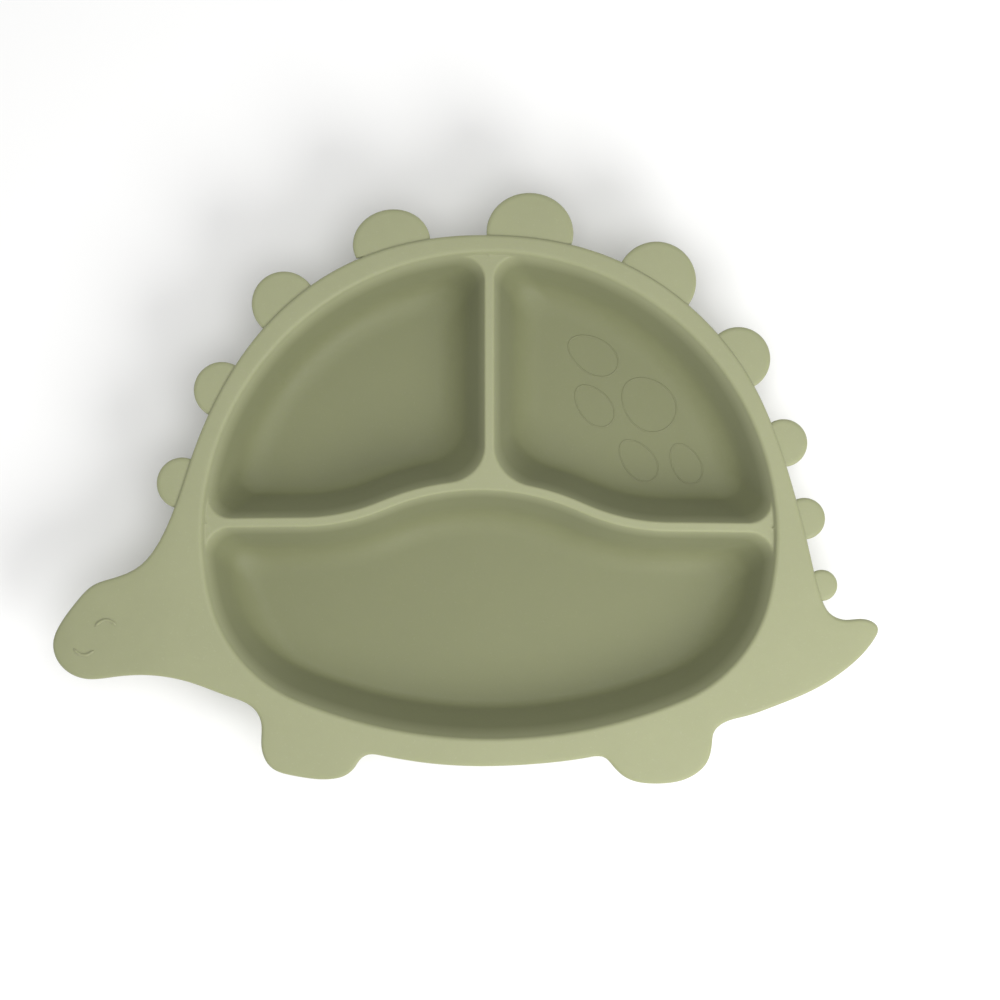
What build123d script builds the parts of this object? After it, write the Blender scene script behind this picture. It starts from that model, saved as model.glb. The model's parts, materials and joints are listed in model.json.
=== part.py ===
from build123d import *
from math import atan2, degrees, radians, tan
import os

# Divided silicone dinner plate in the outline of a plated dinosaur, on four plug-in suction cups.
# Millimetres. +X runs from head to tail, +Y from feet to back, +Z up. The origin lies on the table
# under the middle of the outline.

# heights above the table
rim_top = 36.0
flange_thick = 3.0
lobe_drop = 0.8          # the back lobes lie this much lower than the rim
divider_top = 33.8
floor_top = 14.5
floor_thick = 2.5
boss_bottom = 7.5
flange_bottom = rim_top - flange_thick
tub_bottom = floor_top - floor_thick

# basin and compartments
basin_middle_x = 7.9
basin_bottom_y = -82.0
basin_arcs = [(165.0, 22.5), (48.0, 54.0), (90.0, 41.2)]   # radius, turn in degrees
wall_draft = 20.0        # degrees
tub_wall = 3.0
divider_width = 2.9
wave_points = [(-110, -11.7), (-40.5, -11.0), (6.0, 7.4), (52.5, -12.5), (125, -13.3)]
wave_radii = [70.0, 80.0, 70.0]
post_foot, post_head = 1.0, 90.0          # the straight divider runs from the wave past the rim
wall_corner = 8.0        # compartment corners at the basin wall
junction_corner = 11.0   # compartment corners where the dividers meet
floor_fillet = 5.0
tub_fillet = 7.0
mouth_ease = 0.3
rim_bevel = 0.9
edge_rounding = 0.8
smooth_turn = 5.0        # degrees, faces that turn less than this flow together

# outline of the flange
back_points = [(-94.9, -6.5), (-89, 11), (-77.5, 36), (-62, 56.3), (-40, 72.4), (-15, 80.8), (7, 82.6),
               (30, 80.5), (55, 71.9), (76, 57), (93, 35.8), (103, 13)]
head_points = [(-99.5, -16.8), (-106.4, -25.5), (-115, -29.4), (-122, -32), (-126.5, -36.3), (-132, -43.5),
               (-135, -51), (-132.5, -58), (-125, -62.3), (-115, -61.8), (-105, -61.1), (-90, -63.4),
               (-77, -68.1)]
front_foot = [(-69, -72), (-66.7, -76), (-66.5, -84), (-63.5, -91), (-55.5, -94), (-45, -95.1),
              (-38.5, -93.5), (-36, -91.2), (-33.6, -88), (-31.3, -87)]
belly = [(-27.5, -87.3), (-13, -89.7), (5, -90.8), (24, -90), (40.5, -87.9)]
rear_foot = [(45.2, -87.8), (48.5, -91), (53, -94.8), (62.5, -96.5), (73, -94.6), (79, -89.5),
             (80.6, -83.5), (81.4, -79.4)]
tail_points = [(84, -76.9), (91.5, -74.5), (100, -71.6), (115, -65.2), (126, -57.8), (133.5, -49.6),
               (134.9, -45.6), (131.5, -43), (124, -43), (119, -40.8), (116.2, -35.5),
               (112, -18.8), (108, -3.3)]
# middle, half length along the outline, half height across it, turn of the height in degrees
lobes = [(-92.5, 1.6, 8.4, 8.2, 165), (-79.4, 32, 9.2, 9.2, 150), (-59, 60, 10.6, 10.8, 128),
         (-24, 80, 12.7, 11, 100), (21.2, 83.4, 14.2, 13, 86), (62.5, 67.5, 13, 13, 57),
         (89.3, 42.2, 10.4, 10.4, 36), (104, 14.7, 7.8, 7.8, 18), (110.8, -10, 6.8, 6.8, 15),
         (116.5, -31.8, 5.1, 5.1, 15)]

# suction cups: middle and direction of the release tab in degrees
cups = {
    "head_back": (-34.0, 26.0, 135.0),
    "head_foot": (-34.0, -40.0, 225.0),
    "tail_back": (50.0, 26.0, 45.0),
    "tail_foot": (50.0, -40.0, 315.0),
}
boss_radius = 9.5
socket_clearance = 0.05
stem_radius = 4.0
stem_height = 1.8
head_radius = 6.0
head_height = 2.4
hub_radius = 7.6
hub_bottom = 4.6
skirt_inner = 8.0
skirt_outer = 22.0
skirt_top = 5.0
skirt_under = 3.3
skirt_back = (15, 3.4)    # point on the outside of the bell, from its middle and up
skirt_belly = (14, 1.9)   # point on the inside of the bell
lip_inner = 19.0
lip_height = 0.9
tab_gap = 0.35
tab_length = 9.0
tab_width = 10.0
tab_thick = 1.2
tab_bottom = 0.6
tab_bead = 0.5


def basin_face():
    """Opening of the basin: tangent arcs from the bottom to the top, and their mirror image."""
    curve = Line((-1, basin_bottom_y), (0, basin_bottom_y))
    arcs = []
    for radius, turn in basin_arcs:
        curve = JernArc(curve @ 1, curve % 1, radius, turn)
        arcs.append(curve)
    # the last arc is centred on the mirror line, so that both halves meet smoothly
    end, heading = curve @ 1, curve % 1
    top_radius = end.X / heading.Y
    arcs.append(CenterArc((0, end.Y + top_radius * heading.X), top_radius,
                          degrees(atan2(-heading.X, heading.Y)), 90 - degrees(atan2(-heading.X, heading.Y))))
    left = [arc.mirror(Plane.YZ) for arc in arcs]
    return Pos(basin_middle_x) * make_face(arcs + left)


def outline_face():
    """The animal's outline: one smooth closed curve round back, tail, feet and head."""
    underneath = head_points + front_foot + belly + rear_foot + tail_points
    return make_face(Spline(*back_points[::-1], *underneath, periodic=True))


def lobe_faces():
    """Rounded plates along the back: ellipses that reach out from under the rim."""
    faces = []
    for x, y, along, across, turn in lobes:
        faces.append(Pos(x, y) * Rot(0, 0, turn) * Ellipse(across, along))
    return faces


def compartment_faces():
    """The basin less the wavy divider and the straight one, drawn at rim height."""
    top_width = divider_width - 2 * (rim_top - divider_top) * tan(radians(wall_draft))
    wave = FilletPolyline(*wave_points, radius=wave_radii)
    wave_band = trace(wave, top_width)
    post = Line((basin_middle_x, post_foot), (basin_middle_x, post_head))
    post_band = trace(post, top_width)
    return (basin_face() - wave_band - post_band).faces()


def is_smooth(edge, solid):
    """True where the two faces beside an upright edge flow into each other."""
    beside = [face for face in solid.faces() if edge in face.edges()]
    middle = edge @ 0.5
    first, second = [face.normal_at(middle) for face in beside]
    return first.get_angle(second) < smooth_turn


def compartment(face):
    """Hollow of one compartment: drafted walls, rounded corners and a filleted floor."""
    hollow = extrude(face, amount=floor_top - rim_top, taper=wall_draft)
    upright = [edge for edge in hollow.edges() if abs((edge @ 0).Z - (edge @ 1).Z) > floor_fillet]
    corners = [edge for edge in upright if not is_smooth(edge, hollow)]
    inner = [edge for edge in corners if abs((edge @ 0).X - basin_middle_x) < wall_corner
             and (edge @ 0).Y < wall_corner]
    outer = [edge for edge in corners if edge not in inner]
    if inner:
        hollow = fillet(inner, junction_corner)
        outer = [edge for edge in hollow.edges() if any((edge @ 0.5 - old @ 0.5).length < 1 for old in outer)]
    hollow = fillet(outer, wall_corner)
    floor = hollow.faces().sort_by(Axis.Z)[0]
    return fillet(floor.edges(), floor_fillet)


def tub_shell():
    """Outside of the basin below the flange, before it is hollowed."""
    block = extrude(offset(basin_face(), tub_wall), amount=tub_bottom - rim_top, taper=wall_draft)
    underside = block.faces().sort_by(Axis.Z)[0]
    return Pos(0, 0, rim_top) * fillet(underside.edges(), tub_fillet)


def flange():
    """Flat sheet in the animal's outline with the lower back lobes under its edge."""
    sheet = extrude(outline_face(), amount=flange_thick)
    sheet = fillet(sheet.faces().sort_by(Axis.Z)[-1].edges(), edge_rounding)
    for face in lobe_faces():
        lobe = extrude(face, amount=flange_thick - lobe_drop)
        sheet += fillet(lobe.faces().sort_by(Axis.Z)[-1].edges(), edge_rounding)
    return Pos(0, 0, flange_bottom) * sheet


def boss(x, y):
    """Round boss under the tub that a suction cup's stem plugs into."""
    post = Pos(x, y, boss_bottom) * extrude(Circle(boss_radius), amount=tub_bottom - boss_bottom + 1)
    lower_edge = post.faces().sort_by(Axis.Z)[0].edges()
    return fillet(lower_edge, edge_rounding)


def stem(x, y, grow=0.0):
    """Neck and button head of a cup's plug; grown, it is the socket in the boss."""
    neck = extrude(Circle(stem_radius + grow), amount=stem_height)
    head = extrude(Circle(head_radius + grow), amount=head_height + grow)
    return Pos(x, y, boss_bottom) * (neck + Pos(0, 0, stem_height - grow) * head)


def mouth():
    """Upper part of the basin over all compartments: a hair wider than they are, bevelled at the rim."""
    opening = offset(basin_face(), mouth_ease)
    common = extrude(opening, amount=divider_top - rim_top, taper=wall_draft)
    bevel = extrude(offset(opening, rim_bevel), amount=-1.5 * rim_bevel, taper=45)
    return Pos(0, 0, rim_top) * (common + bevel)


def plate_body():
    """One moulding: flange, tub, dividers and bosses."""
    plate = flange() + tub_shell() - mouth()
    for face in compartment_faces():
        plate -= Pos(0, 0, rim_top) * compartment(face)
    for x, y, turn in cups.values():
        plate += boss(x, y)
        plate -= stem(x, y, socket_clearance)
    return plate


def cup_hub(x, y):
    """Middle of a cup: the disc against the boss and the plug above it."""
    disc = Pos(x, y, hub_bottom) * extrude(Circle(hub_radius), amount=boss_bottom - hub_bottom)
    disc = fillet(disc.faces().sort_by(Axis.Z)[0].edges(), edge_rounding)
    return disc + stem(x, y)


def cup_skirt(x, y):
    """Flexible bell of a cup, down to the flat lip that seals on the table."""
    outside = Spline((skirt_outer, lip_height), skirt_back, (skirt_inner, skirt_top),
                     tangents=((-1, 0.25), (-1, 0.1)))
    inside = Spline((skirt_inner, skirt_under), skirt_belly, (lip_inner, 0),
                    tangents=((1, -0.08), (1, -0.5)))
    edge = skirt_outer + lip_height / 4
    lip = ThreePointArc((skirt_outer, 0), (edge, lip_height / 2), (skirt_outer, lip_height))
    profile = make_face([
        lip,
        outside,
        Line((skirt_inner, skirt_top), (skirt_inner, skirt_under)),
        inside,
        Line((lip_inner, 0), (skirt_outer, 0)),
    ])
    return Pos(x, y) * revolve(Plane.XZ * profile, Axis.Z)


def cup_tab(x, y, turn):
    """Tongue at the lip that is lifted to let the air in, with a bead at its tip."""
    half = tab_width / 2
    shape = make_face([
        Line((0, -half), (0, half)),
        Line((0, half), (tab_length - half, half)),
        ThreePointArc((tab_length - half, half), (tab_length, 0), (tab_length - half, -half)),
        Line((tab_length - half, -half), (0, -half)),
    ])
    tongue = extrude(shape, amount=tab_thick)
    bead = Pos(tab_length - half, 0, tab_thick) * extrude(Circle(half - 1), amount=tab_bead)
    bead = fillet(bead.faces().sort_by(Axis.Z)[-1].edges(), tab_bead * 0.6)
    root = skirt_outer + lip_height / 4 + tab_gap
    return Pos(x, y) * Rot(0, 0, turn) * Pos(root, 0, tab_bottom) * (tongue + bead)


def main():
    os.makedirs("parts", exist_ok=True)
    nodes = {"plate_body": plate_body()}
    for place, (x, y, turn) in cups.items():
        nodes["cup_hub_" + place] = cup_hub(x, y)
        nodes["cup_skirt_" + place] = cup_skirt(x, y)
        nodes["cup_tab_" + place] = cup_tab(x, y, turn)
    for name, shape in nodes.items():
        export_step(shape, "parts/" + name + ".step")


if __name__ == "__main__":
    main()
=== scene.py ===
import json
import math
import bpy
import bmesh
import numpy as np
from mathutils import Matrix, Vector
from mathutils.geometry import delaunay_2d_cdt

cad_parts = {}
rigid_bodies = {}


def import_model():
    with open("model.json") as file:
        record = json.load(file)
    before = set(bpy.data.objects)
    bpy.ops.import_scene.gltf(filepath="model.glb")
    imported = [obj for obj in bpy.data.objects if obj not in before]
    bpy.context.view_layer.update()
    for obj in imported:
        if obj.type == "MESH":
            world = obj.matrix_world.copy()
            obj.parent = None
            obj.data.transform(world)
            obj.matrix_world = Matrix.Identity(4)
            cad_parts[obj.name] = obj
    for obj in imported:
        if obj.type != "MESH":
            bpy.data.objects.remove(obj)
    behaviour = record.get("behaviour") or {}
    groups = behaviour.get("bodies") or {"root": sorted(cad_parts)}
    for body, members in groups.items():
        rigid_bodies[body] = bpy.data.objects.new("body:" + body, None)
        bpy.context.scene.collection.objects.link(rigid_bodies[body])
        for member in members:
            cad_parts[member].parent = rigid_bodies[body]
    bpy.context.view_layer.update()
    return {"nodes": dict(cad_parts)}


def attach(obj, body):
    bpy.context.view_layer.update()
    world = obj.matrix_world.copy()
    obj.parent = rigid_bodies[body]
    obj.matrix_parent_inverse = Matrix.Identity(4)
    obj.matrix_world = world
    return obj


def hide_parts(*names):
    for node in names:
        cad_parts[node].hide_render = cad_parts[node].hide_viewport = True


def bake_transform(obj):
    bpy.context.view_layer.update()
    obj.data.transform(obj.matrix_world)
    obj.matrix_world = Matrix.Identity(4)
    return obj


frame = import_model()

mm = 0.001
print("frame loaded:", len(frame["nodes"]), "nodes")


# the plate, in millimetres and degrees
plate = {
    "rimTop": 36.0, "flangeBottom": 33.0, "lobeTop": 35.25, "dividerTop": 33.8,
    "floorTop": 14.5, "tubBottom": 12.0, "bossBottom": 7.5,
    "basinMiddleX": 7.9, "basinBottomY": -82.0,
    "basinArcs": [(165.0, 22.5), (48.0, 54.0), (90.0, 41.2)],   # radius, turn
    "wallDraft": 23.5, "floorFillet": 3.0, "scoopFillet": 11.0, "rimRounding": 1.6, "dividerRounding": 0.8,
    "dividerWidth": 2.9, "wallCorner": 8.0, "junctionCorner": 11.5,
    "wavePoints": [(-110, -11.7), (-40.5, -11.0), (6.0, 7.4), (52.5, -12.5), (125, -13.3)],
    "waveRadii": [70.0, 80.0, 70.0],
    "tubWall": 3.0, "tubDraft": 20.0, "tubFillet": 7.0, "underFillet": 2.0,
    "rimFoot": 0.35,          # concave rounding where the rim wall meets a divider top
    "edgeFade": 1.2,          # a divider's rounded edge fades out this close to the rim wall
    "backScoopFrom": 5.0, "backScoopOver": 16.0,     # wide fillet away from the wavy divider
    "mainScoopFrom": 17.0, "mainScoopOver": 26.0,    # and away from the front wall
    "lobeRoot": 3.0,          # how far a lobe reaches in under the flange edge
    "rimRings": (0.2, 0.45, 0.75, 1.1, 1.7),
    "bossProfile": [(10.7, 12.0), (10.1, 11.85), (9.65, 11.4), (9.5, 10.8), (9.5, 8.3), (9.25, 7.75),
                    (8.7, 7.5), (6.0, 7.5), (3.0, 7.5)],     # radius, height
    "bossAround": 72,
    "spacing": 1.35,          # between points along an edge
    "gridStep": 4.0,          # between points on flat areas
}

backPoints = [(-94.9, -6.5), (-89, 11), (-77.5, 36), (-62, 56.3), (-40, 72.4), (-15, 80.8), (7, 82.6),
              (30, 80.5), (55, 71.9), (76, 57), (93, 35.8), (103, 13)]
headPoints = [(-99.5, -16.8), (-106.4, -25.5), (-115, -29.4), (-122, -32), (-126.5, -36.3),
              (-132, -43.5), (-135, -51), (-132.5, -58), (-125, -62.3), (-115, -61.8), (-105, -61.1),
              (-90, -63.4), (-77, -68.1)]
frontFoot = [(-69, -72), (-66.7, -76), (-66.5, -84), (-63.5, -91), (-55.5, -94), (-45, -95.1),
             (-38.5, -93.5), (-36, -91.2), (-33.6, -88), (-31.3, -87)]
belly = [(-27.5, -87.3), (-13, -89.7), (5, -90.8), (24, -90), (40.5, -87.9)]
rearFoot = [(45.2, -87.8), (48.5, -91), (53, -94.8), (62.5, -96.5), (73, -94.6), (79, -89.5),
            (80.6, -83.5), (81.4, -79.4)]
tailPoints = [(84, -76.9), (91.5, -74.5), (100, -71.6), (115, -65.2), (126, -57.8), (133.5, -49.6),
              (134.9, -45.6), (131.5, -43), (124, -43), (119, -40.8), (116.2, -35.5), (112, -18.8),
              (108, -3.3)]
# middle, half length along the edge, half height across it, turn of the height in degrees
lobes = [(-92.5, 1.6, 8.4, 8.2, 165), (-79.4, 32, 9.2, 9.2, 150), (-59, 60, 10.6, 10.8, 128),
         (-24, 80, 12.7, 11, 100), (21.2, 83.4, 14.2, 13, 86), (62.5, 67.5, 13, 13, 57),
         (89.3, 42.2, 10.4, 10.4, 36), (104, 14.7, 7.8, 7.8, 18), (110.8, -10, 6.8, 6.8, 15),
         (116.5, -31.8, 5.1, 5.1, 15)]


def smoothClosed(points, step):
    # periodic cubic spline on chord lengths, then evenly spaced points
    p = np.array(points, float)
    n = len(p)
    h = np.linalg.norm(np.roll(p, -1, 0) - p, axis=1)
    a = np.zeros((n, n))
    b = np.zeros((n, 2))
    for i in range(n):
        hPrev, hNext = h[i - 1], h[i]
        a[i, i - 1] = hPrev
        a[i, i] = 2 * (hPrev + hNext)
        a[i, (i + 1) % n] = hNext
        b[i] = 6 * ((p[(i + 1) % n] - p[i]) / hNext - (p[i] - p[i - 1]) / hPrev)
    m = np.linalg.solve(a, b)
    fine = []
    for i in range(n):
        j = (i + 1) % n
        t = np.linspace(0, h[i], 24, endpoint=False)[:, None]
        s = h[i] - t
        fine.append((m[i] * s**3 + m[j] * t**3) / (6 * h[i])
                    + (p[i] / h[i] - m[i] * h[i] / 6) * s + (p[j] / h[i] - m[j] * h[i] / 6) * t)
    return resample(np.concatenate(fine), step, True)


def resample(points, step, closed):
    p = np.vstack([points, points[:1]]) if closed else points
    lengths = np.concatenate([[0], np.cumsum(np.linalg.norm(np.diff(p, axis=0), axis=1))])
    count = max(2, int(round(lengths[-1] / step)))
    at = np.linspace(0, lengths[-1], count + 1)
    out = np.stack([np.interp(at, lengths, p[:, 0]), np.interp(at, lengths, p[:, 1])], 1)
    return out[:-1] if closed else out


def arcPoints(start, heading, radius, turn, count):
    cx = start[0] - radius * math.sin(heading)
    cy = start[1] + radius * math.cos(heading)
    t = np.linspace(0, turn, count + 1)[1:]
    return np.stack([cx + radius * np.sin(heading + t), cy - radius * np.cos(heading + t)], 1)


def basinOutline():
    x, heading = 0.0, 0.0
    points = [np.array([[0.0, plate["basinBottomY"]]])]
    for radius, turn in plate["basinArcs"]:
        points.append(arcPoints(points[-1][-1], heading, radius, math.radians(turn), 80))
        heading += math.radians(turn)
    end = points[-1][-1]
    topRadius = end[0] / math.sin(heading)      # centred on the mirror line
    points.append(arcPoints(end, heading, topRadius, math.pi - heading, 120))
    half = np.concatenate(points)
    half[-1, 0] = 0.0
    whole = np.concatenate([half, (half * [-1, 1])[-2:0:-1]])
    return whole + [plate["basinMiddleX"], 0]


def waveLine():
    # polyline with large round corners
    pts = [np.array(p, float) for p in plate["wavePoints"]]
    out = [pts[0][None]]
    for before, corner, after, radius in zip(pts, pts[1:], pts[2:], plate["waveRadii"]):
        a = (before - corner) / np.linalg.norm(before - corner)
        b = (after - corner) / np.linalg.norm(after - corner)
        turn = math.pi - math.acos(float(a @ b))
        start = corner + a * radius * math.tan(turn / 2)
        heading = math.atan2(-a[1], -a[0])
        sign = 1 if a[0] * b[1] - a[1] * b[0] < 0 else -1
        if sign > 0:
            arc = arcPoints(start, heading, radius, turn, 60)
        else:
            arc = arcPoints(start * [1, -1], -heading, radius, turn, 60) * [1, -1]
        out += [start[None], arc]
    out.append(pts[-1][None])
    return np.concatenate(out)


def distanceTo(line, points, closed):
    a = line
    b = np.roll(line, -1, 0) if closed else line[1:]
    a = a if closed else line[:-1]
    d = b - a
    best = np.full(len(points), 1e9)
    for part in range(0, len(points), 4000):
        q = points[part:part + 4000, None] - a[None]
        t = np.clip((q * d).sum(2) / np.maximum((d * d).sum(1), 1e-12), 0, 1)
        best[part:part + 4000] = np.sqrt(((q - t[..., None] * d) ** 2).sum(2)).min(1)
    return best


class Shell:
    # collects points and faces for one closed surface
    def __init__(self):
        self.points, self.faces = [], []

    def add(self, xy, z):
        first = len(self.points)
        heights = np.broadcast_to(z, len(xy))
        self.points += [(x, y, h) for (x, y), h in zip(xy, heights)]
        return list(range(first, len(self.points)))

    def bridge(self, outer, inner):
        # two closed rings of the same length
        n = len(outer)
        for i in range(n):
            j = (i + 1) % n
            self.faces.append((outer[i], outer[j], inner[j], inner[i]))

    def fan(self, ring, x, y, z):
        middle = self.add([(x, y)], z)[0]
        n = len(ring)
        for i in range(n):
            self.faces.append((ring[i], ring[(i + 1) % n], middle))

    def fill(self, outer, holes, z, upward):
        # flat area between closed rings, with an even grid of points inside
        loops = [outer] + holes
        loopPoints = [np.array([self.points[i][:2] for i in ring]) for ring in loops]
        fixed = [i for ring in loops for i in ring]
        edges, at = [], 0
        for ring in loops:
            n = len(ring)
            edges += [(at + i, at + (i + 1) % n) for i in range(n)]
            at += n
        lo, hi = loopPoints[0].min(0), loopPoints[0].max(0)
        step = plate["gridStep"]
        grid = np.array([(x + (row % 2) * step / 2, y)
                         for row, y in enumerate(np.arange(lo[1], hi[1], step * 0.87))
                         for x in np.arange(lo[0], hi[0], step)])
        inside = insideLoop(loopPoints[0], grid)
        for hole in loopPoints[1:]:
            inside &= ~insideLoop(hole, grid)
        grid = grid[inside]
        clear = np.full(len(grid), 1e9)
        for line in loopPoints:
            clear = np.minimum(clear, distanceTo(line, grid, True))
        grid = grid[clear > step * 0.55]
        added = self.add(grid, z)
        flat = [Vector(p) for p in np.concatenate(loopPoints + [grid])]
        ids = fixed + added
        result = delaunay_2d_cdt(flat, edges, [], 0, 1e-6)
        back = [orig[0] for orig in result[3]]
        middles = np.array([np.mean([result[0][i][:] for i in face], 0) for face in result[2]])
        keep = insideLoop(loopPoints[0], middles)
        for hole in loopPoints[1:]:
            keep &= ~insideLoop(hole, middles)
        for face, kept in zip(result[2], keep):
            if kept:
                corners = [ids[back[i]] for i in face]
                self.faces.append(tuple(corners if upward else corners[::-1]))


def insideLoop(loop, points):
    a, b = loop, np.roll(loop, -1, 0)
    inside = np.zeros(len(points), bool)
    for (x0, y0), (x1, y1) in zip(a, b):
        if y0 == y1:
            continue
        crosses = (y0 > points[:, 1]) != (y1 > points[:, 1])
        inside ^= crosses & (points[:, 0] < (x1 - x0) * (points[:, 1] - y0) / (y1 - y0) + x0)
    return inside


def offsetLoop(loop, amount):
    # positive moves a counter-clockwise loop outwards
    along = np.roll(loop, -1, 0) - np.roll(loop, 1, 0)
    along /= np.linalg.norm(along, axis=1)[:, None]
    return loop + np.stack([along[:, 1], -along[:, 0]], 1) * amount


def roundMin(a, b, radius):
    both = (a < radius) & (b < radius)
    corner = radius - np.sqrt(np.maximum(radius - a, 0) ** 2 + np.maximum(radius - b, 0) ** 2)
    return np.where(both, corner, np.minimum(a, b))


wallTan = math.tan(math.radians(plate["wallDraft"]))
halfTurn = math.radians(90 - plate["wallDraft"]) / 2


def wallProfile(inset, r):
    # compartment wall, fillet of radius r and floor, by distance in from the compartment's edge
    depth = plate["rimTop"] - plate["floorTop"]
    floorLine = depth * wallTan + r * math.tan(halfTurn)
    wall = plate["rimTop"] - inset / wallTan
    arcStart = depth * wallTan - r * math.tan(halfTurn) * math.sin(math.radians(plate["wallDraft"]))
    arc = plate["floorTop"] + r - np.sqrt(np.maximum(r * r - (inset - floorLine) ** 2, 0))
    return np.where(inset < arcStart, wall, np.where(inset < floorLine, arc, plate["floorTop"]))


def rimProfile(inset):
    # rounded inner edge of the rim and the wall below it
    r = plate["rimRounding"]
    reach = r * math.tan(halfTurn)
    arc = plate["rimTop"] - r + np.sqrt(np.maximum(r * r - (inset + reach) ** 2, 0))
    wall = plate["rimTop"] - inset / wallTan
    low = reach * math.sin(math.radians(plate["wallDraft"]))
    return np.where(inset < -reach, plate["rimTop"], np.where(inset < low, arc, wall))


def smoothStep(t):
    t = np.clip(t, 0, 1)
    return t * t * (3 - 2 * t)


def insideHeight(basinInset, inset, scoop):
    top = plate["dividerTop"]
    upper = rimProfile(basinInset)
    soft = plate["rimFoot"]
    blend = np.clip((upper - top) / soft, -1, 1)
    shelf = np.where(np.abs(upper - top) < soft, top + soft * (blend + 1) ** 2 / 4, np.maximum(upper, top))
    tight, wide = plate["floorFillet"], plate["scoopFillet"]
    wall = wallProfile(inset, tight + (wide - tight) * scoop)
    r = plate["dividerRounding"]
    reach = r * math.tan(halfTurn)
    edge = (plate["rimTop"] - top) * wallTan
    along = inset - (edge - reach)
    arc = top - r + np.sqrt(np.maximum(r * r - along**2, 0))
    within = (along > 0) & (inset < edge + reach * math.sin(math.radians(plate["wallDraft"])))
    fade = smoothStep((basinInset - inset) / plate["edgeFade"])
    cut = np.where(within, np.minimum(top, wall) - arc, 0) * fade
    return np.minimum(shelf, wall) - np.maximum(cut, 0)


# where the head and the tail start to hang, how long they are, how far their tips come down
hang = {"head": (-96, -39, 3.5), "tail": (112, 23, 0.8), "bend": 1.6}


def droop(points):
    p = np.array(points, float)
    head, tail = [np.clip((p[:, 0] - start) / length, 0, None) ** hang["bend"] * drop
                  for start, length, drop in (hang["head"], hang["tail"])]
    p[:, 2] -= head + tail
    return p


basinLine = resample(basinOutline(), 1.6, True)
wave = waveLine()


def splitBasin():
    # where the dividers meet the basin wall and each other
    dense = resample(basinOutline(), 0.1, True)
    fineWave = resample(wave, 0.05, False)
    left = dense[dense[:, 0] < 0]
    right = dense[dense[:, 0] > 20]
    waveY = lambda x: np.interp(x, fineWave[:, 0], fineWave[:, 1])
    westEnd = left[np.argmin(np.abs(left[:, 1] - waveY(left[:, 0])))]
    eastEnd = right[np.argmin(np.abs(right[:, 1] - waveY(right[:, 0])))]
    middle = plate["basinMiddleX"]
    top = dense[np.argmin(np.abs(dense[:, 0] - middle) + (dense[:, 1] < 0) * 1e3)]
    junction = np.array([middle, waveY(middle)])
    return westEnd, eastEnd, top, junction, fineWave


def between(loop, start, end):
    # the stretch of a counter-clockwise loop from start to end
    i = int(np.argmin(((loop - start) ** 2).sum(1)))
    j = int(np.argmin(((loop - end) ** 2).sum(1)))
    return loop[i:j + 1] if j >= i else np.concatenate([loop[i:], loop[:j + 1]])


def compartmentInset(points, upper):
    basinInset = distanceTo(basinLine, points, True)
    fromTop = plate["rimTop"] - plate["dividerTop"]
    half = plate["dividerWidth"] / 2 - fromTop * wallTan
    waveInset = distanceTo(resample(wave, 1.6, False), points, False) - half
    postInset = np.abs(points[:, 0] - plate["basinMiddleX"]) - half
    inner = np.where(points[:, 1] < 40, plate["junctionCorner"], plate["wallCorner"])
    inset = np.zeros(len(points))
    for _ in range(8):
        grow = np.maximum(inset, 0)
        found = roundMin(basinInset, waveInset, plate["wallCorner"] + grow)
        if upper:
            found = roundMin(found, postInset, inner + grow)
        inset = found
    # the far and side walls run out in a wide scoop, the near wall meets the floor in a tight fillet
    if upper:
        scoop = smoothStep((waveInset - plate["backScoopFrom"]) / plate["backScoopOver"])
    else:
        fromFront = points[:, 1] - plate["basinBottomY"]
        scoop = smoothStep((fromFront - plate["mainScoopFrom"]) / plate["mainScoopOver"])
    return basinInset, inset, scoop


# rings of points down the walls of a compartment, as distances in from its edge
cellRings = {
    "rimWall": (0.2, 0.42, 0.7, 0.95, 1.25),
    "wall": (0.0, 0.25, 0.45, 0.65, 0.85, 1.05, 1.3, 1.7, 2.4, 3.4, 4.6, 5.8, 7.0, 8.0, 8.6, 9.1, 9.6,
             10.1, 10.6, 11.0, 11.4, 12.2, 13.2, 14.3, 15.6, 16.9),
    "floorShares": (0.86, 0.72, 0.58, 0.44, 0.31, 0.19, 0.09),   # of the way from the middle
    "closest": 0.1, "reach": 45, "sampling": 0.3,
}


def buildCell(shell, boundary, boundaryIds, centre, upper):
    # rings from the cell's boundary down its walls and over its floor
    centre = np.array(centre, float)
    steps = np.arange(0, cellRings["reach"], cellRings["sampling"])
    away = centre - boundary
    length = np.linalg.norm(away, axis=1)
    away /= length[:, None]
    samples = boundary[:, None] + away[:, None] * steps[None, :, None]
    flat = samples.reshape(-1, 2)
    basinInset, inset, _ = compartmentInset(flat, upper)
    basinInset = np.maximum.accumulate(basinInset.reshape(len(boundary), -1), 1)
    inset = np.maximum.accumulate(inset.reshape(len(boundary), -1), 1)
    levels = [("basin", level) for level in cellRings["rimWall"]]
    levels += [("cell", level) for level in cellRings["wall"]]
    ring, reached = boundaryIds, np.zeros(len(boundary))
    for kind, level in levels:
        field = basinInset if kind == "basin" else inset
        rising = np.arange(len(steps)) * 1e-6
        at = np.array([np.interp(level, row + rising, steps) for row in field])
        reached = np.maximum(at, reached + cellRings["closest"])
        xy = boundary + away * reached[:, None]
        new = shell.add(xy, insideHeight(*compartmentInset(xy, upper)))
        shell.bridge(ring, new)
        ring = new
    edge = np.array([shell.points[i][:2] for i in ring])
    for share in cellRings["floorShares"]:
        new = shell.add(centre + (edge - centre) * share, plate["floorTop"])
        shell.bridge(ring, new)
        ring = new
    shell.fan(ring, centre[0], centre[1], plate["floorTop"])


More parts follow.
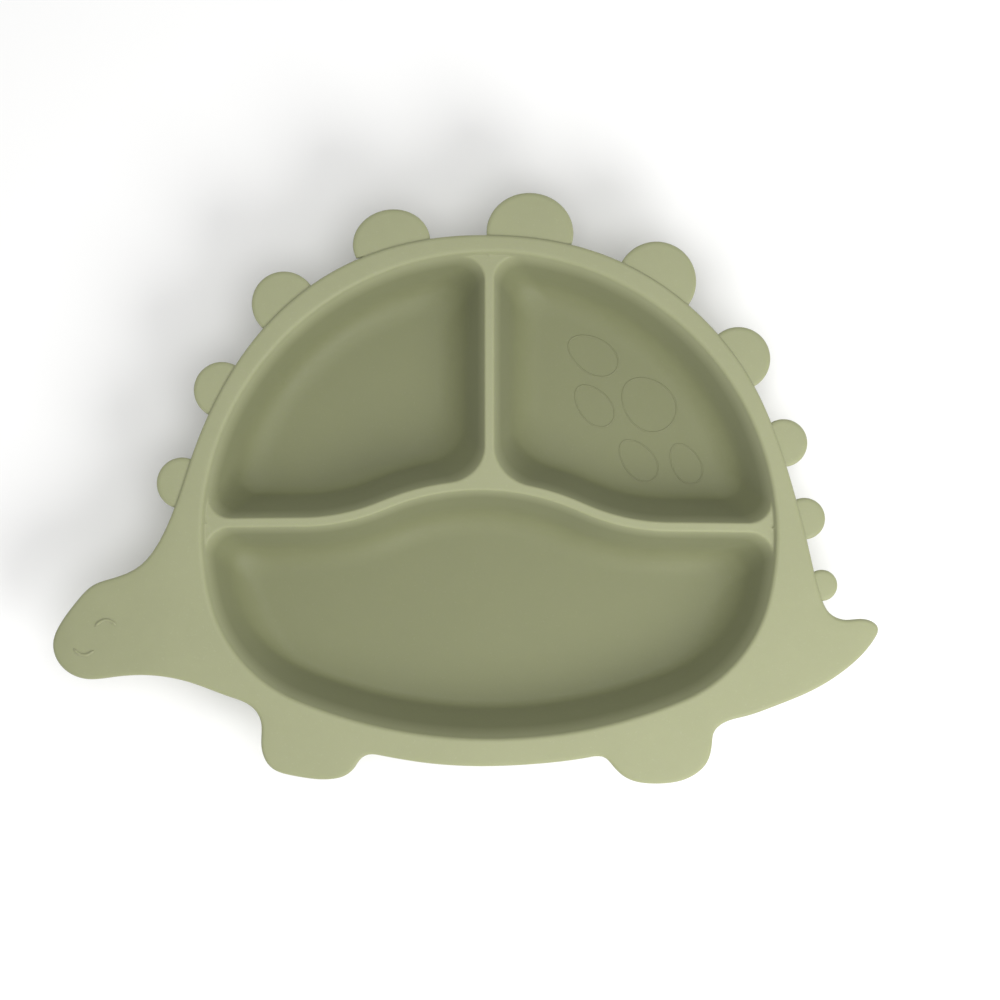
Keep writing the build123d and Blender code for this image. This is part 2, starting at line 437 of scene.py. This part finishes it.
def buildPlate():
    shell = Shell()
    step = plate["spacing"]
    westEnd, eastEnd, top, junction, fineWave = splitBasin()
    dense = resample(basinOutline(), 0.1, True)
    rightWall = resample(between(dense, eastEnd, top), step, False)
    leftWall = resample(between(dense, top, westEnd), step, False)
    lowWall = resample(between(dense, westEnd, eastEnd), step, False)
    westWave = fineWave[(fineWave[:, 0] > westEnd[0]) & (fineWave[:, 0] < junction[0])]
    eastWave = fineWave[(fineWave[:, 0] > junction[0]) & (fineWave[:, 0] < eastEnd[0])]
    westWave = resample(np.concatenate([[westEnd], westWave, [junction]]), step, False)
    eastWave = resample(np.concatenate([[junction], eastWave, [eastEnd]]), step, False)
    post = resample(np.array([junction, top]), step, False)

    def place(line, upper):
        return shell.add(line, insideHeight(*compartmentInset(line, upper)))

    ends = np.array([westEnd, eastEnd, top])
    west, east, north = shell.add(ends, rimProfile(np.zeros(3)))
    joint = shell.add([junction], plate["dividerTop"])[0]
    rightIds = [east] + shell.add(rightWall[1:-1], rimProfile(np.zeros(1))) + [north]
    leftIds = [north] + shell.add(leftWall[1:-1], rimProfile(np.zeros(1))) + [west]
    lowIds = [west] + shell.add(lowWall[1:-1], rimProfile(np.zeros(1))) + [east]
    westIds = [west] + place(westWave[1:-1], False) + [joint]
    eastIds = [joint] + place(eastWave[1:-1], False) + [east]
    postIds = [joint] + place(post[1:-1], True) + [north]
    cells = [
        ([eastWave, rightWall, post[::-1]], [eastIds, rightIds, postIds[::-1]], (48, 30), True),
        ([post, leftWall, westWave], [postIds, leftIds, westIds], (-32, 28), True),
        ([lowWall, eastWave[::-1], westWave[::-1]], [lowIds, eastIds[::-1], westIds[::-1]], (8, -44), False),
    ]
    for lines, ids, centre, upper in cells:
        boundary = np.concatenate([line[:-1] for line in lines])
        boundaryIds = [i for run in ids for i in run[:-1]]
        buildCell(shell, boundary, boundaryIds, centre, upper)
    print("plate: compartments done,", len(shell.points), "points")

    # rim and flange top
    mouth = np.concatenate([rightWall[:-1], leftWall[:-1], lowWall[:-1]])
    mouthIds = rightIds[:-1] + leftIds[:-1] + lowIds[:-1]
    ring = mouthIds
    for out in plate["rimRings"]:
        new = shell.add(offsetLoop(mouth, out), rimProfile(np.array([-out]))[0])
        shell.bridge(new, ring)
        ring = new
    rimRing = ring
    outline = smoothClosed(backPoints[::-1] + headPoints + frontFoot + belly + rearFoot + tailPoints, 1.2)
    topZ, lowZ = plate["rimTop"], plate["flangeBottom"]
    side = [(-1.3, topZ), (-0.9, topZ - 0.04), (-0.5, topZ - 0.17), (-0.2, topZ - 0.42), (-0.04, topZ - 0.8),
            (0, topZ - 1.2), (0, lowZ + 0.8), (-0.12, lowZ + 0.4), (-0.4, lowZ + 0.12), (-0.9, lowZ)]
    edgeRings = [shell.add(offsetLoop(outline, out), z) for out, z in side]
    shell.fill(edgeRings[0], [rimRing], topZ, True)
    for upperRing, lowerRing in zip(edgeRings, edgeRings[1:]):
        shell.bridge(lowerRing, upperRing)

    # outside of the tub
    tub = resample(basinOutline(), 2.2, True)
    draft = math.radians(plate["tubDraft"])
    under, fillet = plate["underFillet"], plate["tubFillet"]
    half = (math.pi / 2 - draft) / 2
    upperOut = plate["tubWall"] - (topZ - lowZ) * math.tan(draft) + under * math.tan(half)
    lowerOut = plate["tubWall"] - (topZ - plate["tubBottom"]) * math.tan(draft) - fillet * math.tan(half)
    turns = np.linspace(0, math.pi / 2 - draft, 7)
    tubSide = [(upperOut - under * math.sin(t), lowZ - under * (1 - math.cos(t))) for t in turns]
    tubSide += [(lowerOut + fillet * math.sin(t), plate["tubBottom"] + fillet * (1 - math.cos(t)))
                for t in turns[::-1]]
    tubRings = [shell.add(offsetLoop(tub, out), z) for out, z in tubSide]
    shell.fill(edgeRings[-1], [tubRings[0]], lowZ, False)
    for upperRing, lowerRing in zip(tubRings, tubRings[1:]):
        shell.bridge(lowerRing, upperRing)
    bossRings = []
    for x, y, _ in cups.values():
        around = np.linspace(0, 2 * math.pi, plate["bossAround"], endpoint=False)
        circle = np.stack([np.cos(around), np.sin(around)], 1)
        boss = [shell.add(circle * r + [x, y], z) for r, z in plate["bossProfile"]]
        for a, b in zip(boss, boss[1:]):
            shell.bridge(b, a)
        shell.fan(boss[-1][::-1], x, y, plate["bossBottom"])
        bossRings.append(boss[0])
    shell.fill(tubRings[-1], bossRings, plate["tubBottom"], False)
    return toObject("plate_body_silicone", droop(shell.points), shell.faces)


def toObject(name, points, faces):
    mesh = bpy.data.meshes.new(name)
    mesh.from_pydata([Vector(p) * mm for p in points], [], faces)
    mesh.validate()
    piece = bpy.data.objects.new(name, mesh)
    bpy.context.scene.collection.objects.link(piece)
    for polygon in mesh.polygons:
        polygon.use_smooth = True
    return piece


def turnAround(profile, x, y, count):
    # closed surface of revolution from (radius, z) pairs that start and end on the axis
    shell = Shell()
    around = np.linspace(0, 2 * math.pi, count, endpoint=False)
    circle = np.stack([np.cos(around), np.sin(around)], 1)
    rings = [shell.add(circle * r + [x, y], z) for r, z in profile[1:-1]]
    shell.fan(rings[0], x, y, profile[0][1])
    for upperRing, lowerRing in zip(rings, rings[1:]):
        shell.bridge(lowerRing, upperRing)
    shell.fan(rings[-1][::-1], x, y, profile[-1][1])
    return shell


def smoothed(points, rounds):
    # corner cutting that keeps the two ends
    p = np.array(points, float)
    for _ in range(rounds):
        a, b = p[:-1], p[1:]
        cut = np.stack([a * 0.75 + b * 0.25, a * 0.25 + b * 0.75], 1).reshape(-1, 2)
        p = np.concatenate([p[:1], cut, p[-1:]])
    return p


# the suction cups under the plate
cup = {
    "profile": [(0, 7.45), (4, 7.45), (7.3, 7.45), (7.6, 7.1), (7.7, 6.2), (8.2, 5.35), (9.6, 4.9),
                (12, 4.4), (15, 3.4), (18.5, 2.2), (20.9, 1.25), (21.9, 0.95), (22.25, 0.5), (22, 0.06),
                (21, 0.0), (19.6, 0.05), (17.4, 0.85), (14, 1.9), (10, 2.9), (6, 3.5), (0, 3.9)],
    "skirtTop": 5.2, "lip": 0.6,
    "sides": 128,
    "tabRoot": 20.6, "tabEnd": 31.35, "tabWide": 10.0, "tabRound": 3.2,
    "tabLow": 0.35, "tabHigh": 1.75, "tabBead": 0.5, "ridges": [26.0, 27.6, 29.2],
    "bendStart": 21.8, "bendEnd": 24.0,
    "flare": 2.4, "flareLength": 1.6, "tipThin": 0.35, "tipLength": 0.5, "rootLength": 1.4, "rootDrop": 0.55,
    "beadFromEnd": 1.2, "beadLength": 0.8, "ridgeHeight": 0.22, "ridgeLength": 0.35,
    "tabSections": 40, "tabAround": 28,
}
cups = {"head_back": (-34, 26, 135), "head_foot": (-34, -40, 225),
        "tail_back": (50, 26, 45), "tail_foot": (50, -40, 315)}


def buildCup(name):
    x, y = cups[name][:2]
    profile = np.array(cup["profile"], float)
    profile = np.concatenate([profile[:1], smoothed(profile[1:-1], 2), profile[-1:]])
    shell = turnAround([tuple(p) for p in profile], x, y, cup["sides"])
    piece = toObject("cup_" + name, shell.points, shell.faces)
    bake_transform(piece)
    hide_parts("cup_hub_" + name, "cup_skirt_" + name)
    return piece


def buildTab(name):
    x, y, turn = cups[name]
    shell = Shell()
    half = cup["tabWide"] / 2
    # seen from above: a tongue that flares into the lip, with rounded corners at its end
    tongue = []
    for share in np.linspace(0, 1, cup["tabSections"]):
        out = cup["tabRoot"] + (cup["tabEnd"] - cup["tabRoot"]) * share
        flare = cup["flare"] * math.exp(-((out - cup["tabRoot"]) / cup["flareLength"]))
        radius = cup["tabRound"]
        intoCorner = max(radius - (cup["tabEnd"] - out), 0)
        corner = radius - math.sqrt(max(radius**2 - intoCorner**2, 0))
        tongue.append((out, half + flare - corner))
    rings = []
    for out, wide in tongue:
        fromEnd = cup["tabEnd"] - out
        thin = min(1, cup["tipThin"] + (1 - cup["tipThin"]) * math.sqrt(min(fromEnd / cup["tipLength"], 1)))
        bead = cup["tabBead"] * math.exp(-((fromEnd - cup["beadFromEnd"]) / cup["beadLength"]) ** 2)
        ridge = sum(cup["ridgeHeight"] * math.exp(-((out - at) / cup["ridgeLength"]) ** 2)
                    for at in cup["ridges"])
        root = min((out - cup["tabRoot"]) / cup["rootLength"], 1)
        high = cup["tabHigh"] + bead + ridge - cup["rootDrop"] * (1 - root)
        middle = (cup["tabLow"] + cup["tabHigh"]) / 2
        ring = []
        for t in np.linspace(0, 2 * math.pi, cup["tabAround"], endpoint=False):
            c, s = math.cos(t), math.sin(t)
            across = math.copysign(abs(c) ** 0.35, c) * wide
            up = math.copysign(abs(s) ** 0.5, s)
            z = middle + (up * (high - middle) if up > 0 else up * (middle - cup["tabLow"])) * thin
            ring.append((out, across, z))
        rings.append(ring)
    angle = math.radians(turn)
    ids = []
    for ring in rings:
        xy = [(x + o * math.cos(angle) - a * math.sin(angle), y + o * math.sin(angle) + a * math.cos(angle))
              for o, a, z in ring]
        ids.append(shell.add(xy, np.array([z for o, a, z in ring])))
    for a, b in zip(ids, ids[1:]):
        shell.bridge(b, a)
    shell.faces.append(tuple(ids[0]))
    shell.faces.append(tuple(ids[-1][::-1]))
    piece = toObject("tab_" + name, shell.points, shell.faces)
    tidyNormals(piece)
    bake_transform(piece)
    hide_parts("cup_tab_" + name)
    return piece


def tidyNormals(piece):
    work = bmesh.new()
    work.from_mesh(piece.data)
    bmesh.ops.recalc_face_normals(work, faces=work.faces)
    work.to_mesh(piece.data)
    work.free()


def tube(shell, line, radius, closed):
    # a thin round bead along a line of (x, y, z) points
    p = np.array(line, float)
    along = np.roll(p, -1, 0) - np.roll(p, 1, 0)
    if not closed:
        along[0], along[-1] = p[1] - p[0], p[-1] - p[-2]
    along /= np.linalg.norm(along, axis=1)[:, None]
    side = np.stack([along[:, 1], -along[:, 0], np.zeros(len(p))], 1)
    rings = []
    for i in range(len(p)):
        fromEnd = min(i, len(p) - 1 - i)
        r = radius if closed else radius * min(1, 0.35 + 0.3 * fromEnd)
        turns = np.linspace(0, 2 * math.pi, 12, endpoint=False)
        ring = [p[i] + side[i] * r * math.cos(t) + np.array([0, 0, r * math.sin(t)]) for t in turns]
        rings.append(shell.add([q[:2] for q in ring], np.array([q[2] for q in ring])))
    pairs = list(zip(rings, rings[1:])) + ([(rings[-1], rings[0])] if closed else [])
    for a, b in pairs:
        shell.bridge(b, a)
    if not closed:
        shell.faces.append(tuple(rings[0]))
        shell.faces.append(tuple(rings[-1][::-1]))


# the raised lines: two closed eyelids on the head and a footprint on one floor
lines = {
    "eyelids": [[(-120.9, -45.3), (-117.2, -43.1), (-113.8, -45.0)],
                [(-128.0, -52.5), (-124.7, -54.6), (-121.1, -53.0)]],
    "eyelidRadius": 0.6, "eyelidSink": 0.15,
    "toes": [(42.4, 44.4, 9.1, 5.8, -32), (42.8, 27.6, 8.1, 5.1, -49), (57.5, 9.4, 8, 5, -50),
             (73.4, 8.3, 7.2, 4.6, -60), (60.9, 28.1, 10, 8, -45)],
    "toeRadius": 0.34, "toeSink": 0.2,
}


def buildLines():
    shell = Shell()
    for corners in lines["eyelids"]:
        a, b, c = [np.array(p) for p in corners]
        pull = 2 * b - (a + c) / 2
        arc = [a * (1 - t)**2 + pull * 2 * t * (1 - t) + c * t * t for t in np.linspace(0, 1, 25)]
        flat = droop([(x, y, plate["rimTop"] - lines["eyelidSink"]) for x, y in arc])
        tube(shell, flat, lines["eyelidRadius"], False)
    for x, y, long, wide, turn in lines["toes"]:
        angle = math.radians(turn)
        oval = []
        for t in np.linspace(0, 2 * math.pi, 72, endpoint=False):
            a, b = long * math.cos(t), wide * math.sin(t) * (1 + 0.12 * math.cos(t))
            oval.append((x + a * math.cos(angle) - b * math.sin(angle),
                         y + a * math.sin(angle) + b * math.cos(angle), plate["floorTop"] - lines["toeSink"]))
        tube(shell, oval, lines["toeRadius"], True)
    piece = toObject("raised_lines", shell.points, shell.faces)
    tidyNormals(piece)
    return piece


def buildLobes():
    # rounded slabs for the scallops along the back and tail
    made = []
    for i, (x, y, long, wide, turn) in enumerate(lobes):
        shell = Shell()
        angle = math.radians(turn)
        t = np.linspace(0, 2 * math.pi, 96, endpoint=False)
        a, b = np.maximum(np.cos(t) * wide, -plate["lobeRoot"]), np.sin(t) * long
        loop = np.stack([x + a * math.cos(angle) - b * math.sin(angle),
                         y + a * math.sin(angle) + b * math.cos(angle)], 1)
        top, low = plate["lobeTop"], plate["flangeBottom"] + 0.02
        side = [(-1.6, top), (-1.0, top - 0.06), (-0.55, top - 0.2), (-0.2, top - 0.45), (-0.04, top - 0.75),
                (0, top - 1.1), (0, low + 0.6), (-0.15, low + 0.25), (-0.5, low + 0.05), (-0.9, low)]
        rings = [shell.add((loop - [x, y]) * (1 + out / wide) + [x, y], z) for out, z in side]
        shell.fan(rings[0], x, y, top)
        for upperRing, lowerRing in zip(rings, rings[1:]):
            shell.bridge(lowerRing, upperRing)
        shell.fan(rings[-1][::-1], x, y, low)
        made.append(toObject("lobe_%02d" % i, droop(shell.points), shell.faces))
    return made


def joinLobes(body, made):
    for lobe in made:
        join = body.modifiers.new("join", "BOOLEAN")
        join.operation, join.solver, join.object = "UNION", "EXACT", lobe
    bpy.context.view_layer.update()
    whole = bpy.data.meshes.new_from_object(body.evaluated_get(bpy.context.evaluated_depsgraph_get()))
    body.modifiers.clear()
    body.data = whole
    for lobe in made:
        bpy.data.objects.remove(lobe)
    whole.set_sharp_from_angle(angle=math.radians(50))


class Wire:
    # a shader socket that can be used in sums
    def __init__(self, tree, socket=None):
        self.tree, self.socket = tree, socket

    def node(self, kind, settings=(), values=(), out=0):
        made = self.tree.nodes.new(kind)
        for name, value in dict(settings).items():
            setattr(made, name, value)
        for name, value in dict(values).items():
            if isinstance(value, Wire):
                self.tree.links.new(value.socket, made.inputs[name])
            else:
                made.inputs[name].default_value = value
        return Wire(self.tree, made.outputs[out])

    def maths(self, operation, *values):
        return self.node("ShaderNodeMath", {"operation": operation}, dict(enumerate(values)))

    def __add__(self, other):
        return self.maths("ADD", self, other)

    def __radd__(self, other):
        return self.maths("ADD", other, self)

    def __sub__(self, other):
        return self.maths("SUBTRACT", self, other)

    def __rsub__(self, other):
        return self.maths("SUBTRACT", other, self)

    def __mul__(self, other):
        return self.maths("MULTIPLY", self, other)

    def __rmul__(self, other):
        return self.maths("MULTIPLY", other, self)

    def __truediv__(self, other):
        return self.maths("DIVIDE", self, other)

    def __rtruediv__(self, other):
        return self.maths("DIVIDE", other, self)

    def clamped(self):
        return self.node("ShaderNodeClamp", {}, {"Value": self})

    def between(self, low, high):
        # colour that goes from low to high as this socket goes from 0 to 1
        return self.node("ShaderNodeMix", {"data_type": "RGBA"}, {0: self, 6: low, 7: high}, 2)


silicone = {
    "plateDeep": (0.270, 0.282, 0.160, 1), "platePale": (0.318, 0.330, 0.194, 1),
    "cupDeep": (0.262, 0.274, 0.154, 1), "cupPale": (0.305, 0.317, 0.184, 1),
    "dust": (0.40, 0.41, 0.28, 1), "dustShare": 0.18,
    "wellTop": 33.6, "wellFull": 28.0, "paintedWellShade": (0.66, 0.67, 0.60, 1),   # painted shade: the colour is multiplied darker towards the compartment floors
    "roughness": 0.52, "roughnessSwing": 0.16,
    "mottleScale": 34.0, "grainScale": 2600.0, "grainDepth": 0.00003,
    "waveScale": 70.0, "waveDepth": 0.00016,
    "soft": 0.12, "softReach": (0.004, 0.005, 0.002), "sheen": 0.12,
}


def makeSilicone(name, deepTint, paleTint, paintWellShade):
    s = silicone
    material = bpy.data.materials.new(name)
    material.use_nodes = True
    tree = material.node_tree
    tree.nodes.clear()
    start = Wire(tree)
    place = start.node("ShaderNodeTexCoord", {}, {}, "Object")

    def noise(scale, detail, roughness=0.5):
        return place.node("ShaderNodeTexNoise", {}, {"Vector": place, "Scale": scale, "Detail": detail,
                                                     "Roughness": roughness}, "Fac")

    mottle = noise(s["mottleScale"], 3.0)
    fine = noise(s["mottleScale"] * 9, 2.0)
    grain = noise(s["grainScale"], 2.0, 0.6)
    speck = ((noise(s["mottleScale"] * 42, 1.0) - 0.66) * 9).clamped()
    colour = (mottle * 0.7 + fine * 0.3).between(deepTint, paleTint)
    colour = (speck * s["dustShare"]).between(colour, s["dust"])
    # painted shade: from wellTop down to wellFull the colour is multiplied by the shade tint, darkest at the
    # compartment floors
    if paintWellShade:
        height = place.node("ShaderNodeSeparateXYZ", {}, {"Vector": place}, "Z") / mm
        shadeMask = ((s["wellTop"] - height) / (s["wellTop"] - s["wellFull"])).clamped()
        shaded = place.node("ShaderNodeMix", {"data_type": "RGBA", "blend_type": "MULTIPLY"},
                            {0: 1.0, 6: colour, 7: s["paintedWellShade"]}, 2)
        colour = shadeMask.between(colour, shaded)
    rough = s["roughness"] + (fine - 0.5) * s["roughnessSwing"] + (mottle - 0.5) * s["roughnessSwing"]
    ripple = place.node("ShaderNodeBump", {}, {"Height": noise(s["waveScale"], 1.0), "Strength": 0.5,
                                               "Distance": s["waveDepth"]})
    bump = place.node("ShaderNodeBump", {}, {"Height": grain, "Strength": 0.6, "Distance": s["grainDepth"],
                                             "Normal": ripple})
    shader = place.node("ShaderNodeBsdfPrincipled", {}, {
        "Base Color": colour, "Roughness": rough, "Normal": bump, "IOR": 1.41,
        "Subsurface Weight": s["soft"], "Subsurface Radius": s["softReach"], "Subsurface Scale": 1.0,
        "Sheen Weight": s["sheen"], "Sheen Roughness": 0.5, "Specular IOR Level": 0.35})
    end = tree.nodes.new("ShaderNodeOutputMaterial")
    tree.links.new(shader.socket, end.inputs["Surface"])
    return material


plateSilicone = makeSilicone("plate silicone", silicone["plateDeep"], silicone["platePale"], True)
cupSilicone = makeSilicone("cup silicone", silicone["cupDeep"], silicone["cupPale"], False)

body = buildPlate()
print("plate body:", len(body.data.polygons), "faces")
joinLobes(body, buildLobes())
print("lobes joined:", len(body.data.polygons), "faces")
body.data.materials.append(plateSilicone)
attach(body, "plate")
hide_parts("plate_body")

raised = buildLines()
raised.data.materials.append(plateSilicone)
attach(raised, "plate")

for name in cups:
    for piece in (buildCup(name), buildTab(name)):
        piece.data.materials.append(cupSilicone)
print("cups and tabs done")


# floor, lamps and camera
studio = {
    "floorSize": 3.0, "floorColour": (0.93, 0.93, 0.925, 1),
    "keyPlace": (0.24, -0.32, 0.38), "keySize": 0.30, "keyPower": 1.9,
    "topPlace": (0.12, -0.06, 1.25), "topSize": 0.8, "topPower": 5.5,
    "sky": (1.0, 1.0, 1.0, 1), "skyPower": 0.58,
    "cameraPlace": (0.01141, -0.00391), "cameraAbove": 0.9, "lens": 99.4,
}


def makeFloor():
    half = studio["floorSize"] / 2
    mesh = bpy.data.meshes.new("floor")
    corners = [(-half, -half, 0), (half, -half, 0), (half, half, 0), (-half, half, 0)]
    mesh.from_pydata(corners, [], [(0, 1, 2, 3)])
    floor = bpy.data.objects.new("floor", mesh)
    bpy.context.scene.collection.objects.link(floor)
    material = bpy.data.materials.new("floor")
    material.use_nodes = True
    shader = material.node_tree.nodes["Principled BSDF"]
    shader.inputs["Base Color"].default_value = studio["floorColour"]
    shader.inputs["Roughness"].default_value = 0.8
    shader.inputs["Specular IOR Level"].default_value = 0.1
    floor.data.materials.append(material)
    floor.location.z = -0.0002


def makeLamp(name, place, size, power):
    light = bpy.data.lights.new(name, "AREA")
    light.shape, light.size, light.energy = "DISK", size, power
    lamp = bpy.data.objects.new(name, light)
    lamp.location = place
    lamp.rotation_euler = (-Vector(place)).to_track_quat("-Z", "Y").to_euler()
    bpy.context.scene.collection.objects.link(lamp)


makeFloor()
makeLamp("key", studio["keyPlace"], studio["keySize"], studio["keyPower"])
makeLamp("top", studio["topPlace"], studio["topSize"], studio["topPower"])
world = bpy.data.worlds.new("studio")
world.use_nodes = True
world.node_tree.nodes["Background"].inputs["Color"].default_value = studio["sky"]
world.node_tree.nodes["Background"].inputs["Strength"].default_value = studio["skyPower"]
bpy.context.scene.world = world

lens = bpy.data.cameras.new("camera")
lens.lens, lens.sensor_width, lens.clip_start = studio["lens"], 36.0, 0.01
camera = bpy.data.objects.new("camera", lens)
camera.location = (*studio["cameraPlace"], plate["rimTop"] * mm + studio["cameraAbove"])
bpy.context.scene.collection.objects.link(camera)
bpy.context.scene.camera = camera
bpy.context.scene.view_settings.view_transform = "Standard"
print("floor, lamps and camera done")
